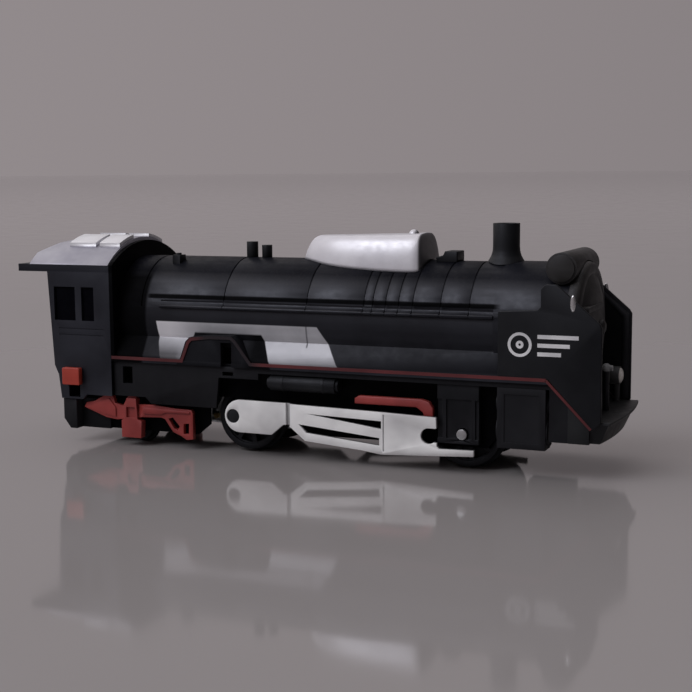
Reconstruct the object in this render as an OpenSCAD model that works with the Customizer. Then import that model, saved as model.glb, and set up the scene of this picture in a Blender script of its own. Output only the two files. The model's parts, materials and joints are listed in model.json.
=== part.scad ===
// Toy steam-outline locomotive driven by a clockwork motor.
// +X is forward, +Y is the left-hand side, +Z is up. The rails' top plane is z = 0.
// The origin is on the centre line, about midway between the roof's rear edge and the front beam.

/* [Body] */
// Half of the width over the running boards
half_w = 21; // [20.5:0.5:22]
// Outer radius of the boiler
boiler_r = 18; // [17.5:0.1:18.3]
// Height of the boiler's centre line
boiler_z = 41.1; // [40.8:0.1:41.6]
// Wall of the moulded body shells
wall = 1.3; // [1:0.1:1.6]
// Height of the running board's upper face
board_z = 28.3; // [28.1:0.1:28.6]
// Height of the chassis deck's upper face
deck_z = 27; // [26.8:0.1:27.1]
// Height of the chimney's rim
chimney_z = 70.2; // [69:0.1:72]

/* [Wheels and rods] */
// Radius of the driving wheels over the flange
driver_r = 11.1; // [10.9:0.1:11.3]
// Radius of the trailing wheels over the flange
trailing_r = 5.7; // [5.5:0.1:5.8]
// Radius of the driving axles
axle_r = 1.5; // [1.3:0.1:1.5]
// Running clearance of an axle in its bearing
bearing_gap = 0.05; // [0.03:0.01:0.08]
// Crank pin ahead of the driving axle on the right side
crank_dx = -2.15; // [-2.2:0.05:-2.1]
// Crank pin above the driving axle on the right side
crank_dz = 1.1; // [1.05:0.05:1.15]
// Radius of the crank pins
crank_pin_r = 2.1; // [1.9:0.05:2.1]

/* [Clockwork] */
// Module of all the gears
gear_m = 0.6; // [0.6:0.01:0.61]
// Teeth of the great wheel beside the mainspring
great_teeth = 48; // [48:1:48]
// Teeth of the pinion that the great wheel drives
second_pinion_teeth = 12; // [12:1:12]
// Teeth of the second wheel
second_teeth = 36; // [36:1:36]
// Teeth of the pinion on the driving axle
drive_pinion_teeth = 14; // [14:1:14]
// Teeth of the governor's wheel on the driving axle
governor_wheel_teeth = 28; // [28:1:28]
// Teeth of the governor's pinion
governor_pinion_teeth = 12; // [12:1:12]
// Turns of the mainspring
spring_turns = 7; // [5:1:8]
// Thickness of the mainspring strip
spring_t = 0.4; // [0.3:0.05:0.5]

/* [Hidden] */
$fn = 64;
RIGHT = -1;
LEFT = 1;

// Stations along the locomotive
roof_x0 = -95.3;
cab_x0 = -84.4;
cab_x1 = -61.5;
shell_x0 = cab_x1 + wall;
smokebox_x0 = 62;
smokebox_x1 = 85;
ring_w = 2.4;
under_deck = 25.4;

// Axles, given as [x, z]
drive_at = [-16.5, driver_r];
front_at = [53.4, driver_r];
trailing_at = [-56.3, trailing_r];
pin_at = drive_at + [crank_dx, crank_dz];

// The clockwork's arbors, given as [x, z]. Each centre distance is half the teeth times the module.
spring_at = [6, 32];
spring_to_second = gear_m * (great_teeth + second_pinion_teeth) / 2;
second_to_drive = gear_m * (second_teeth + drive_pinion_teeth) / 2;
drive_to_governor = gear_m * (governor_wheel_teeth + governor_pinion_teeth) / 2;
train_span = norm(drive_at - spring_at);
train_foot = (pow(spring_to_second, 2) - pow(second_to_drive, 2) + pow(train_span, 2)) / (2 * train_span);
train_rise = sqrt(pow(spring_to_second, 2) - pow(train_foot, 2));
train_dir = (drive_at - spring_at) / train_span;
second_at = spring_at + train_foot * train_dir + train_rise * [train_dir[1], -train_dir[0]];
governor_angle = 150;
governor_at = drive_at + drive_to_governor * [cos(governor_angle), sin(governor_angle)];
second_angle = atan2(second_at[1] - spring_at[1], second_at[0] - spring_at[0]);
drive_angle = atan2(drive_at[1] - second_at[1], drive_at[0] - second_at[0]);

// Distances from the centre line, across the locomotive
plate_y0 = 7.5;
plate_y1 = 8.5;
frame_y0 = 6.6;
frame_y1 = 9.2;
wheel_y0 = 9.8;
wheel_y1 = 14.2;
wall_y0 = 14.9;
wall_y1 = 15.9;
rod_y0 = 19.6;
rod_y1 = 21.2;

// ---- helpers ----

// Extrude an outline of (y, z) points along the locomotive
module along_x(x0, x1) {
    translate([x0, 0, 0]) rotate([90, 0, 90]) linear_extrude(x1 - x0) children();
}

// Extrude an outline of (x, z) points across the locomotive
module along_y(y0, y1) {
    translate([0, y1, 0]) rotate([90, 0, 0]) linear_extrude(y1 - y0) children();
}

// Extrude an outline of (x, y) points upwards
module along_z(z0, z1) {
    translate([0, 0, z0]) linear_extrude(z1 - z0) children();
}

module block(lo, hi) {
    translate(lo) cube(hi - lo);
}

module bar_x(x0, x1, r, y, z) {
    translate([x0, y, z]) rotate([0, 90, 0]) cylinder(h = x1 - x0, r = r);
}

module bar_y(y0, y1, r, at) {
    translate([at[0], y1, at[1]]) rotate([90, 0, 0]) cylinder(h = y1 - y0, r = r);
}

module bar_z(z0, z1, r, x, y) {
    translate([x, y, z0]) cylinder(h = z1 - z0, r = r);
}

// Draw a piece made for the left side (positive y) on the given side
module on_side(side) {
    mirror([0, side == RIGHT ? 1 : 0, 0]) children();
}

module both_sides() {
    on_side(LEFT) children();
    on_side(RIGHT) children();
}

// ---- gears ----

function involute(rb, a) = rb * [cos(a) + a * PI / 180 * sin(a), sin(a) - a * PI / 180 * cos(a)];
function turned(p, a) = [p[0] * cos(a) - p[1] * sin(a), p[0] * sin(a) + p[1] * cos(a)];

// Outline of a gear with one tooth centred on the x axis
gear_addendum = 0.8;
gear_dedendum = 1.15;
gear_backlash = 0.16;
gear_steps = 4;

function gear_points(n) = let(
    rp = gear_m * n / 2,
    rb = rp * cos(20),
    ra = rp + gear_addendum * gear_m,
    rr = rp - gear_dedendum * gear_m,
    half_tooth = 90 / n - gear_backlash / 2 / rp * 180 / PI,
    roll_p = sqrt(pow(rp / rb, 2) - 1) * 180 / PI,
    inv_p = roll_p - 20,
    roll_a = sqrt(pow(ra / rb, 2) - 1) * 180 / PI,
    roll_r = rr > rb ? sqrt(pow(rr / rb, 2) - 1) * 180 / PI : 0,
    flank = [for (i = [0 : gear_steps]) involute(rb, roll_r + (roll_a - roll_r) * i / gear_steps)],
    right = [for (p = flank) turned(p, -half_tooth - inv_p)],
    foot = turned([rr, 0], -half_tooth - inv_p),
    lower = rr < rb ? concat([foot], right) : right,
    upper = [for (i = [len(lower) - 1 : -1 : 0]) [lower[i][0], -lower[i][1]]],
    tooth = concat(lower, upper)
) [for (k = [0 : n - 1]) for (p = tooth) turned(p, 360 * k / n)];

// A gear across the locomotive on a bore; tooth_angle is where one of its teeth points
module gear(n, at, y0, y1, bore_r, tooth_angle) {
    difference() {
        translate([at[0], 0, at[1]]) along_y(y0, y1) rotate(tooth_angle) polygon(gear_points(n));
        bar_y(y0 - 1, y1 + 1, bore_r, at);
    }
}

// ---- body ----

// Outline of the skirt under the boiler, as (y, z); inset moves it in by the wall
crease_z = 34.9;

module skirt_outline(inset) {
    w = sqrt(pow(boiler_r - inset, 2) - pow(boiler_z - crease_z, 2));
    foot = half_w - 0.8 - inset;
    polygon([[-w, crease_z], [-foot, 29.4], [-foot, deck_z], [foot, deck_z], [foot, 29.4], [w, crease_z]]);
}

// Casing of the reversing gear, over the running board, as (x, z)
module hump_outline(inset) {
    polygon([[-37.2 + inset, board_z - 0.5], [-34.8 + inset, 34.2 - inset], [-33.4 + inset, 35.6 - inset],
        [-26.7, 36.4 - inset], [-18.8, 36.5 - inset], [-17.2 - inset, 35.2 - inset],
        [-11.8 - inset, board_z - 0.5]]);
}

hump_y0 = 17;
band_x = [-51.8, -23.1, 4.6, 22.8, 25.6, 29.6, 33.6, 37.9, 46.3, 54.9];
band_w = 0.5;
band_depth = 0.3;
seam_z = 46.3;
key_hole_r = 3;
recess_x = [-22.6, -19];

module boiler_shell() {
    color("#1b1c20") {
        difference() {
            union() {
                bar_x(shell_x0, smokebox_x0, boiler_r, 0, boiler_z);
                bar_x(smokebox_x0 - 0.01, smokebox_x1 - ring_w, boiler_r + 0.3, 0, boiler_z);
                along_x(shell_x0, 64.2) skirt_outline(0);
                block([shell_x0, -half_w, deck_z], [78.6, half_w, board_z]);
                both_sides() along_y(hump_y0, half_w - 0.2) hump_outline(0);
                both_sides() bar_x(-45, smokebox_x0, 0.55, boiler_r + 0.15, 44.6);
            }
            bar_x(shell_x0 - 1, smokebox_x1 + 1, boiler_r - wall, 0, boiler_z);
            along_x(shell_x0 - 1, 62.5) skirt_outline(wall);
            block([shell_x0 - 1, wall - boiler_r, deck_z - 1], [smokebox_x1 + 1, boiler_r - wall, boiler_z]);
            both_sides() along_y(hump_y0, half_w - 0.2 - wall) hump_outline(wall);
            block([shell_x0 - 1, -half_w - 1, 0], [smokebox_x1 + 1, half_w + 1, deck_z]);
            for (x = band_x) band_groove(x);
            both_sides() block([-45, boiler_r - 1.1, seam_z - 0.25], [smokebox_x0, boiler_r + 1, seam_z + 0.25]);
            both_sides() block([recess_x[0], half_w - 1.9, board_z - 2], [recess_x[1], half_w + 1, 34.4]);
            bar_y(10, half_w + 1, key_hole_r, spring_at);
        }
        for (x = screw_x) both_sides() difference() {
            bar_z(deck_z, boss_top, boss_r, x, screw_y);
            bar_z(deck_z - 1, 36, screw_r, x, screw_y);
        }
    }
}

module band_groove(x) {
    difference() {
        bar_x(x - band_w / 2, x + band_w / 2, boiler_r + 1, 0, boiler_z);
        bar_x(x - 1, x + 1, boiler_r - band_depth, 0, boiler_z);
        block([x - 1, -boiler_r - 2, 0], [x + 1, boiler_r + 2, seam_z - 2]);
    }
}

// The cab's side, rear and front walls under one flat rim, as (x, z)
rear_wall = [[cab_x0, 54.8], [-82.7, 24.8], [-81.3, 21.8], [-80.4, 14.2]];
function rear_x(z) = cab_x0 + (rear_wall[1][0] - cab_x0) * (z - 54.8) / (rear_wall[1][1] - 54.8);
cab_windows = [[-82.1, -74.2], [-71.9, -67.3]];
window_z = [39.3, 50];
rim_z0 = 54.7;
rim_z1 = 57;
arch_rise = 7;
arch_r = (half_w * half_w + arch_rise * arch_rise) / (2 * arch_rise);
knob_slot_x = [-77.6, -73.4];
knob_slot_z = [14.8, 24];

module cab() {
    color("#2a2d33") difference() {
        union() {
            both_sides() along_y(half_w - 1, half_w)
                polygon(concat(rear_wall, [[-72.4, 14.2], [-71, 15.8], [cab_x1, 15.8], [cab_x1, 54.8]]));
            along_y(-half_w + 1, half_w - 1)
                polygon(concat(rear_wall, [for (i = [3 : -1 : 0]) rear_wall[i] + [wall, 0]]));
            along_x(cab_x1 - 0.01, shell_x0) bulkhead_outline();
            block([roof_x0, -half_w, rim_z0], [cab_x1, half_w, rim_z1]);
        }
        block([-81.6, -half_w + 3, rim_z0 - 1], [cab_x1 - 1.5, half_w - 3, rim_z1 + 1]);
        both_sides() for (w = cab_windows)
            block([w[0], half_w - 2, window_z[0]], [w[1], half_w + 1, window_z[1]]);
        block([knob_slot_x[0], -half_w - 1, knob_slot_z[0]], [knob_slot_x[1], -half_w + 2, knob_slot_z[1]]);
        both_sides() for (z = [34.6, 36.6])
            block([-80.5, half_w - 0.25, z], [-64, half_w + 1, z + 0.35]);
        block([shell_x0 - 4, -14, 30], [shell_x0 + 1, 14, 50]);
        for (y = [-13, 1]) along_y(y, y + 12) polygon([[-90, 30], [rear_x(30) + 0.4, 30],
            [rear_x(52) + 0.4, 52], [-90, 52]]);
    }
}

module bulkhead_outline() {
    intersection() {
        translate([0, 57 + arch_rise - arch_r]) circle(r = arch_r, $fn = 180);
        translate([-half_w, deck_z]) square([2 * half_w, 57 + arch_rise - deck_z]);
    }
}

roof_rise = 8;
roof_r = (half_w * half_w + roof_rise * roof_rise) / (2 * roof_rise);
roof_cz = rim_z1 + roof_rise - roof_r;
roof_end_x = -91;
hatch_x = [[-80.8, -71], [-69.6, -62.1]];
roof_top = roof_cz + roof_r;

// Side view of the roof, whose top falls away towards the rear; inset moves it in by the wall
module roof_side(inset) {
    polygon([[roof_end_x + inset, rim_z1 - 1], [roof_end_x + inset, roof_top - 4.6 - inset],
        [-86.4, roof_top - 1.7 - inset], [-79, roof_top + 0.3 - inset], [cab_x1, roof_top + 0.3 - inset],
        [cab_x1, rim_z1 - 1]]);
}

module cab_roof() {
    color("#c9c8d0") {
        difference() {
            intersection() {
                bar_x(roof_end_x, cab_x1 - 0.3, roof_r, 0, roof_cz);
                along_y(-half_w, half_w) roof_side(0);
            }
            intersection() {
                bar_x(roof_end_x + wall, cab_x1 - 1.6, roof_r - wall, 0, roof_cz);
                along_y(-half_w, half_w) roof_side(wall);
            }
            block([roof_x0 - 1, -half_w * 2, roof_cz - roof_r - 1], [cab_x1 + 1, half_w * 2, rim_z1]);
        }
        both_sides() for (h = hatch_x) roof_hatch(h);
    }
}

// Raised ventilator hatch, lying on the curve of the roof
module roof_hatch(h) {
    intersection() {
        difference() {
            bar_x(h[0], h[1], roof_r + 1.2, 0, roof_cz);
            bar_x(h[0] - 1, h[1] + 1, roof_r - 0.2, 0, roof_cz);
        }
        block([h[0], 4.6, rim_z1], [h[1], 13, rim_z1 + roof_rise + 2]);
    }
}

// Long streamlined cover over the steam and sand domes
module dome_casing() {
    color("#cfced6") difference() {
        hull() {
            for (x = [3, 32.4], y = [-3.4, 3.4])
                translate([x, y, 60.8 + (x > 20 ? 0.9 : 0)]) sphere(r = 5.7, $fn = 32);
            for (x = [0.2, 34.6], y = [-5.4, 5.4]) translate([x, y, 55]) cylinder(r = 4.2, h = 4.2, $fn = 32);
        }
        bar_x(-10, 60, boiler_r, 0, boiler_z);
    }
    color("#cfced6") translate([34, 0, 66.2]) sphere(r = 1.9);
}

chimney_x = 60.6;

module chimney() {
    color("#222327") difference() {
        translate([chimney_x, 0, 0]) rotate_extrude()
            polygon([[0, 54], [7, 54], [6.3, 57.6], [5.3, 59.2], [4.4, 60.8], [4, 62.2], [3.9, 63.6],
                [3.9, chimney_z], [3, chimney_z], [3, 60], [0, 60]]);
        bar_x(40, 80, boiler_r + 0.3, 0, boiler_z);
        bar_x(40, smokebox_x0, boiler_r + 0.3, 0, boiler_z);
    }
}

heater_at = [80.3, 58.4];
heater_r = 4.4;
heater_half = 14;

module feedwater_heater() {
    color("#25262a") difference() {
        union() {
            bar_y(-heater_half, heater_half, heater_r, heater_at);
            both_sides() bar_y(heater_half - 0.6, heater_half + 0.6, heater_r - 0.7, heater_at);
            both_sides() block([heater_at[0] - 3.4, 4, 50], [heater_at[0] + 3.4, 9.4, heater_at[1]]);
        }
        bar_x(60, 82.2, boiler_r + 0.3, 0, boiler_z);
        bar_x(82.1, 95, boiler_r + 0.8, 0, boiler_z);
    }
}

// Dished smokebox door in its rounded ring, with two hinge straps
module smokebox_front() {
    color("#2b2c30") difference() {
        union() {
            translate([smokebox_x1, 0, boiler_z]) rotate([0, 90, 0]) rotate_extrude()
                polygon([[0, -4], [16.6, -4], [16.6, -ring_w], [18.4, -ring_w], [18.6, -1.4], [18.5, -0.4],
                    [18.2, 0.4], [17.6, 0.9], [15.8, 1.2], [15, 0.8], [12, 2], [8, 2.9], [4, 3.4], [2, 3.5],
                    [2, 4.3], [1.2, 4.8], [0, 4.9]]);
            for (z = [-6, 6]) block([smokebox_x1 + 0.6, -14.6, boiler_z + z - 0.7],
                [smokebox_x1 + 3.3, 3, boiler_z + z + 0.7]);
        }
        block([smokebox_x1 - 5, -half_w, 0], [smokebox_x1 + 9, half_w, deck_z]);
    }
}

// Smoke deflector beside the smokebox, running down to the front beam, as (x, z)
deflector_t = 1.1;

module deflector(side) {
    color("#26272c") on_side(side) {
        along_y(half_w - deflector_t, half_w)
            polygon([[64.3, board_z], [64.3, 46.8], [75.4, 47.4], [76.4, 48.4], [76.4, 53.2], [77.6, 54.5],
                [80.8, 54.5], [92.6, 44.2], [93.3, 43], [93.3, 17.3], [91, 14.8], [78.6, board_z]]);
        block([66, boiler_r + 0.36, 43.6], [73, half_w - deflector_t, 44.8]);
        along_y(half_w - deflector_t - 0.5, half_w - deflector_t)
            polygon([[90.6, 17.3], [92.6, 17.3], [92.6, 42.8], [81, 52.8], [79.6, 52.8], [90.6, 42]]);
    }
}

lamp_y = 16.6;
lamp_z = 24.9;
lamp_x = [87.4, 90.9];

module headlamps() {
    color("#1d1e21") both_sides() difference() {
        union() {
            bar_x(lamp_x[0] + 0.6, lamp_x[1], 2.7, lamp_y, lamp_z);
            bar_x(lamp_x[0], lamp_x[0] + 0.6, 2.1, lamp_y, lamp_z);
            block([89.4, lamp_y - 0.8, beam_top], [90.7, lamp_y + 0.8, lamp_z - 2.4]);
        }
        bar_x(lamp_x[1] - 1, lamp_x[1] + 1, 2.35, lamp_y, lamp_z);
    }
}

module headlamp_lenses() {
    color("#f2efe8") both_sides() translate([lamp_x[1] - 1, lamp_y, lamp_z]) rotate([0, 90, 0])
        rotate_extrude() polygon([[0, 0], [2.3, 0], [2.3, 0.9], [2, 1.35], [1.3, 1.7], [0.6, 1.85], [0, 1.9]]);
}

module hose_stand() {
    color("#a9aab0") {
        bar_z(beam_top, 29.4, 0.9, 90.2, 0);
        translate([90.2, 0, 29.4]) sphere(r = 1.3);
        bar_x(90.2, 92, 0.8, 0, 29.4);
    }
}

module safety_valves() {
    color("#1b1c20") difference() {
        union() {
            bar_z(57, 63.9, 1.8, -21.7, 0);
            bar_z(57, 62.9, 1.6, -16.6, 0);
        }
        bar_x(-30, -10, boiler_r, 0, boiler_z);
    }
}

module turret_box() {
    color("#1b1c20") difference() {
        along_y(-3.4, 3.4) polygon([[40.2, 56], [46.8, 56], [46.8, 62], [42.9, 62], [42.3, 60.8], [40.2, 60.2]]);
        bar_x(35, 55, boiler_r, 0, boiler_z);
    }
}

// Squat whistle on the boiler, ahead of the cab
module whistle() {
    color("#1b1c20") difference() {
        union() {
            block([-45.7, -8.4, 54], [-43.1, -4.6, 59.8]);
            bar_z(54, 60.4, 0.8, -44.4, -6.5);
        }
        bar_x(-50, -40, boiler_r, 0, boiler_z);
    }
}

tank_x = [-7.5, 15.5];
tank_y = wall_y1 + 2.55;
tank_z = 22.8;
tank_r = 2.4;

module air_tank(side) {
    color("#2c2d31") on_side(side) {
        bar_x(tank_x[0] + 0.9, tank_x[1] - 0.9, tank_r, tank_y, tank_z);
        bar_x(tank_x[0], tank_x[1], tank_r - 0.6, tank_y, tank_z);
        for (x = [-3, 10.2]) {
            bar_x(x, x + 1, tank_r + 0.1, tank_y, tank_z);
            block([x, wall_y1, tank_z], [x + 1, tank_y, under_deck]);
        }
    }
}

// Slide-bar guide beside the front driving wheel; the axle's end shows in its face
module guide_block(side) {
    color("#1f2024") on_side(side) difference() {
        union() {
            block([46.1, wall_y1, 8.3], [58.4, 18.7, under_deck]);
            block([46.1, 18.7, 8.3], [58.4, 19.2, 9.8]);
            block([46.1, 18.7, 21], [58.4, 19.2, under_deck]);
            block([47.6, 18.7, 9], [48.8, 19.2, 22]);
            block([56.2, 18.7, 9], [57.4, 19.2, 22]);
        }
        bar_y(14, 20, axle_r + 0.35, front_at);
    }
}

module cylinder_casting(side) {
    color("#232428") on_side(side) difference() {
        union() {
            block([64, 14.4, 8.3], [77.8, 20.2, under_deck]);
            bar_x(63.6, 78.2, 4.2, 15.8, 13.2);
            bar_x(63.2, 78.6, 2.7, 15.8, 20.6);
        }
        block([60, 20.2, 8], [80, 24, 26]);
        block([66, 19.95, 10], [75.8, 21, 23.6]);
        block([60, 0, 0], [80, 14.4, 26]);
    }
}

beam_top = 17.2;
beam_end_x = 95.7;
beam_bow = 1.5;
beam_x0 = 89.8;
flange_z = 16.4;
beam_z = 10.8;
beam_focus_x = 60;
beam_taper = 0.93;

// Plan of the bowed beam, as (x, y); inset moves its front edge and its ends in
module beam_plan(inset) {
    y1 = half_w - 1.1 - inset;
    bow = [for (i = [-6 : 6]) [beam_end_x - inset + beam_bow * (1 - i * i / 36), y1 * i / 6]];
    polygon(concat([[beam_x0, y1], [beam_x0, -y1]], bow));
}

module front_beam() {
    color("#1e1f23") {
        along_z(flange_z, beam_top) beam_plan(0);
        difference() {
            translate([beam_focus_x, 0, flange_z + 0.01]) mirror([0, 0, 1])
                linear_extrude(flange_z - beam_z, scale = beam_taper) translate([-beam_focus_x, 0]) beam_plan(0.7);
            block([87, 3.4 - half_w, beam_z - 2], [92, half_w - 3.4, flange_z - 1.2]);
        }
        block([84, 1.1 - half_w, flange_z], [beam_x0 + 0.1, half_w - 1.1, beam_top]);
        both_sides() along_y(18, half_w - 1.1)
            polygon([[84, beam_z], [84, 21], [87.8, beam_top], [beam_x0 + 0.1, beam_top], [beam_x0 + 0.1, beam_z]]);
    }
}

// ---- chassis ----

motor_bay = [[-36.2, -9.4], [28, 9.4]];
screw_x = [-50, 40];
screw_y = 12;
screw_r = 1;
boss_r = 2.6;
boss_top = 50.4;
drawbar_x = -72;
drawbar_z = [8, 9.4];
drawbar_pin_r = 1.5;
apron_y = 17.6;

module side_panel_outline() {
    difference() {
        polygon([[-61.3, 16], [-50, 16], [-48, 14], [-25, 14], [-24, 23.5], [-10.5, 23.5], [-10.5, deck_z], [-61.3, deck_z]]);
        translate([-58, 20]) square([3.5, 5.4]);
        translate([recess_x[0], 24.2]) square([recess_x[1] - recess_x[0], 5]);
    }
}

module front_frame_outline() {
    polygon([[43, under_deck], [48, 7.4], [59, 7.4], [64, 13], [82, 13], [82, under_deck]]);
}

module rear_frame_outline() {
    polygon([[-62.5, under_deck], [-62.5, 12], [-59.4, 2.8], [-53.2, 2.8], [-50, 12], [-50, under_deck]]);
}

module chassis() {
    color("#1d1e22") difference() {
        union() {
            difference() {
                block([-78.8, 1.1 - half_w, under_deck], [84, half_w - 1.1, deck_z]);
                block([motor_bay[0][0], motor_bay[0][1], 20], [motor_bay[1][0], motor_bay[1][1], 30]);
            }
            both_sides() {
                along_y(18.6, half_w - 1.1) side_panel_outline();
                along_y(wall_y0, wall_y1) polygon([[-74.6, 4.6], [-33.6, 4.6], [-29.4, 8], [-29.4, 17], [-4, 17],
                    [-2, 10.4], [5, 7], [60, 7], [63, 10.4], [63, under_deck], [-74.6, under_deck]]);
                along_y(frame_y0, frame_y1) front_frame_outline();
                along_y(frame_y0, frame_y1) rear_frame_outline();
                along_y(18, half_w - 1.4) polygon([[78.7, beam_z], [84, beam_z], [84, 21], [80, under_deck],
                    [78.7, under_deck]]);
                for (x = [-33.4, 20.6]) block([x, plate_y1, 21], [x + 4, motor_bay[1][1] + 0.6, deck_z]);
                block([-75.4, 11, 4.5], [-65, 17, 14]);
            }
            along_y(-half_w + 0.6, half_w - 0.6)
                polygon([[-80.2, 14], [-80.2, 7.6], [-77.8, 4.5], [-75.4, 4.5], [-75.4, 14]]);
            block([-75.4, -17, 10], [-65, 17, 14]);
            along_y(-apron_y, apron_y) polygon([[82, under_deck], [84, deck_z], [84.4, deck_z], [85.6, 23.4],
                [87.2, 20.2], [89.2, beam_top], [87.4, beam_top], [83.4, under_deck]]);
        }
        both_sides() bar_y(0, half_w, axle_r + bearing_gap, front_at);
        both_sides() bar_y(0, 11, 1.2 + bearing_gap, trailing_at);
        for (x = screw_x) both_sides() bar_z(20, 30, screw_r + 0.1, x, screw_y);
        block([-82, -8.5, 7.2], [-75, 8.5, 10]);
        block([-76, -11, 0], [-64, 11, 7.2]);
    }
    color("#1d1e22") {
        bar_z(drawbar_z[0] - 0.3, 10.01, drawbar_pin_r, drawbar_x, 0);
        bar_z(drawbar_z[0] - 1.2, drawbar_z[0] - 0.3, 2.6, drawbar_x, 0);
    }
}

coupling_x = -85.4;
coupling_r = 1.6;

// Draw link for a tender, free to swing on its post under the rear frame
module drawbar() {
    color("#303136") difference() {
        union() {
            along_z(drawbar_z[0], drawbar_z[1]) polygon([[-72, -3], [coupling_x, -3.4], [coupling_x, 3.4], [-72, 3]]);
            bar_z(drawbar_z[0], drawbar_z[1], 3.6, drawbar_x, 0);
            bar_z(drawbar_z[0], drawbar_z[1] + 1.2, 3.6, coupling_x, 0);
        }
        bar_z(0, 20, drawbar_pin_r + bearing_gap, drawbar_x, 0);
        bar_z(0, 20, coupling_r, coupling_x, 0);
    }
}

// Side frame of the trailing truck, with its spring hangers and lifting lug, as (x, z)
module trailing_frame_outline() {
    difference() {
        polygon([[-73.5, 11.4], [-72.6, 12.9], [-69.6, 13.4], [-67.4, 14.7], [-65.4, 15.7], [-62.6, 15.5],
            [-62, 13.3], [-59, 12.5], [-57.8, 14.6], [-57, 15.8], [-54.2, 15.8], [-53.6, 13.2], [-47.9, 13.4],
            [-39.8, 12.7], [-34.4, 12.6], [-33.9, 11.7], [-33.9, 3.4], [-36.3, 3.1], [-37.9, 4.1], [-41, 5.3],
            [-43.8, 9.2], [-45.2, 9.6], [-51.9, 9.3], [-61.4, 8], [-65.3, 8.5], [-70.4, 10.3]]);
        polygon([[-37.3, 4.9], [-35.4, 4.9], [-35.3, 8.3], [-37.2, 8.1]]);
        polygon([[-42.6, 9.4], [-40.6, 6.4], [-39.4, 6], [-38.6, 7.2], [-41, 9.9]]);
    }
}

module axle_box_outline() {
    polygon([[-59.2, 2.7], [-52.2, 2.7], [-51.9, 8.1], [-53.4, 8.6], [-53.8, 15.2], [-57.2, 15.2], [-58.2, 8.6],
        [-59.2, 8.1]]);
}

module trailing_frame(side) {
    color("#a8423a") on_side(side) {
        along_y(17.2, 18.8) trailing_frame_outline();
        along_y(17.2, 19.6) difference() {
            axle_box_outline();
            translate([-57.4, 9]) square([3.2, 3.4]);
        }
        along_y(18.8, 19.2) polygon([[-72.4, 11.4], [-66, 9.6], [-61.6, 9], [-61.6, 12], [-64, 14.6], [-67, 13.6]]);
        along_y(18.8, 19.2) polygon([[-51.4, 12.4], [-51.4, 10.4], [-45, 10.6], [-43.2, 11.4], [-34.9, 11.4],
            [-34.9, 12], [-40, 12.2]]);
        for (x = [-63.8, -50, -42]) block([x, wall_y1, 11], [x + 2.4, 17.2, 12.6]);
    }
}

module valve_bracket(side) {
    color("#b8463c") on_side(side) {
        along_y(17, 18.9) polygon([[20.4, 18], [20.4, 19.6], [21.6, 20.4], [41, 20.4], [43.4, 19.8], [44.6, 18],
            [44.6, 14.4], [42.2, 14.4], [41.6, 16.6], [39.6, 18]]);
        for (x = [24, 37]) block([x, wall_y1, 18.4], [x + 2, 17, 20]);
    }
}

// ---- clockwork ----

pillar_r = 1.5;
spring_post = spring_at + 17.5 * [cos(50), sin(50)];
pillars = [[-31, 9.6], [-29.6, 35], [-7, 48.6], spring_post, [21.6, 18]];
arbor_r = 2;
second_r = 1;
governor_r = 0.8;
key_square = 2.7;

module motor_plate(side) {
    color("#9fa3a8") on_side(side) difference() {
        along_y(plate_y0, plate_y1) polygon([[-34, 7.4], [-10, 6.2], [6, 9], [25, 15], [25, 46], [20, 50.6],
            [-8, 51.8], [-33, 38.4]]);
        bar_y(0, 10, axle_r + bearing_gap, drive_at);
        bar_y(0, 10, arbor_r + bearing_gap, spring_at);
        bar_y(0, 10, second_r + bearing_gap, second_at);
        bar_y(0, 10, governor_r + bearing_gap, governor_at);
        for (p = pillars) bar_y(0, 10, 0.92, p);
    }
}

module motor_pillars() {
    color("#c2a45a") for (p = pillars) {
        bar_y(-plate_y0, plate_y0, pillar_r, p);
        bar_y(-plate_y1 - 0.5, plate_y1 + 0.5, 0.9, p);
    }
}

spring_y = [-6.9, 0.9];
spring_r0 = 3.2;
spring_r1 = 13.3;
spring_end = 10;
spring_step = 15;

function spring_point(a, off) = let(f = 1 - (spring_end - a) / (360 * spring_turns),
    r = spring_r0 + (spring_r1 - spring_r0) * f + off) r * [cos(a), sin(a)];

// Coiled strip whose outer end runs straight on to a pillar
module mainspring() {
    a0 = spring_end - 360 * spring_turns;
    tangent = 9.6 * [-sin(spring_end), cos(spring_end)];
    inner = [for (a = [a0 : spring_step : spring_end]) spring_point(a, 0)];
    outer = [for (a = [spring_end : -spring_step : a0]) spring_point(a, spring_t)];
    color("#6d7078") difference() {
        union() {
            translate([spring_at[0], 0, spring_at[1]]) along_y(spring_y[0], spring_y[1])
                polygon(concat(inner, [inner[len(inner) - 1] + tangent, outer[0] + tangent], outer));
            bar_y(spring_y[0], spring_y[1], pillar_r + 0.5, spring_post);
        }
        bar_y(spring_y[0] - 1, spring_y[1] + 1, pillar_r + 0.02, spring_post);
    }
}

click_angle = 205;
click_at = spring_at + 9 * [cos(click_angle + 35), sin(click_angle + 35)];

module great_wheel() {
    color("#c9a64c") difference() {
        gear(great_teeth, spring_at, 1.6, 2.8, arbor_r + 0.02, second_angle);
        for (a = [0 : 72 : 300]) bar_y(1, 3.4, 1.9, spring_at + 9.4 * [cos(a + 96), sin(a + 96)]);
        bar_y(1, 3.4, 0.72, click_at);
    }
}

module winding_arbor() {
    color("#8d9096") {
        bar_y(-plate_y1 - 0.4, plate_y1 + 0.4, arbor_r, spring_at);
        bar_y(spring_y[0] - 0.2, 1.5, spring_r0 - 0.3, spring_at);
        translate([spring_at[0], 0, spring_at[1]]) along_y(plate_y1, 15)
            square(key_square, center = true);
    }
}

ratchet_teeth = 12;

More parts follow.
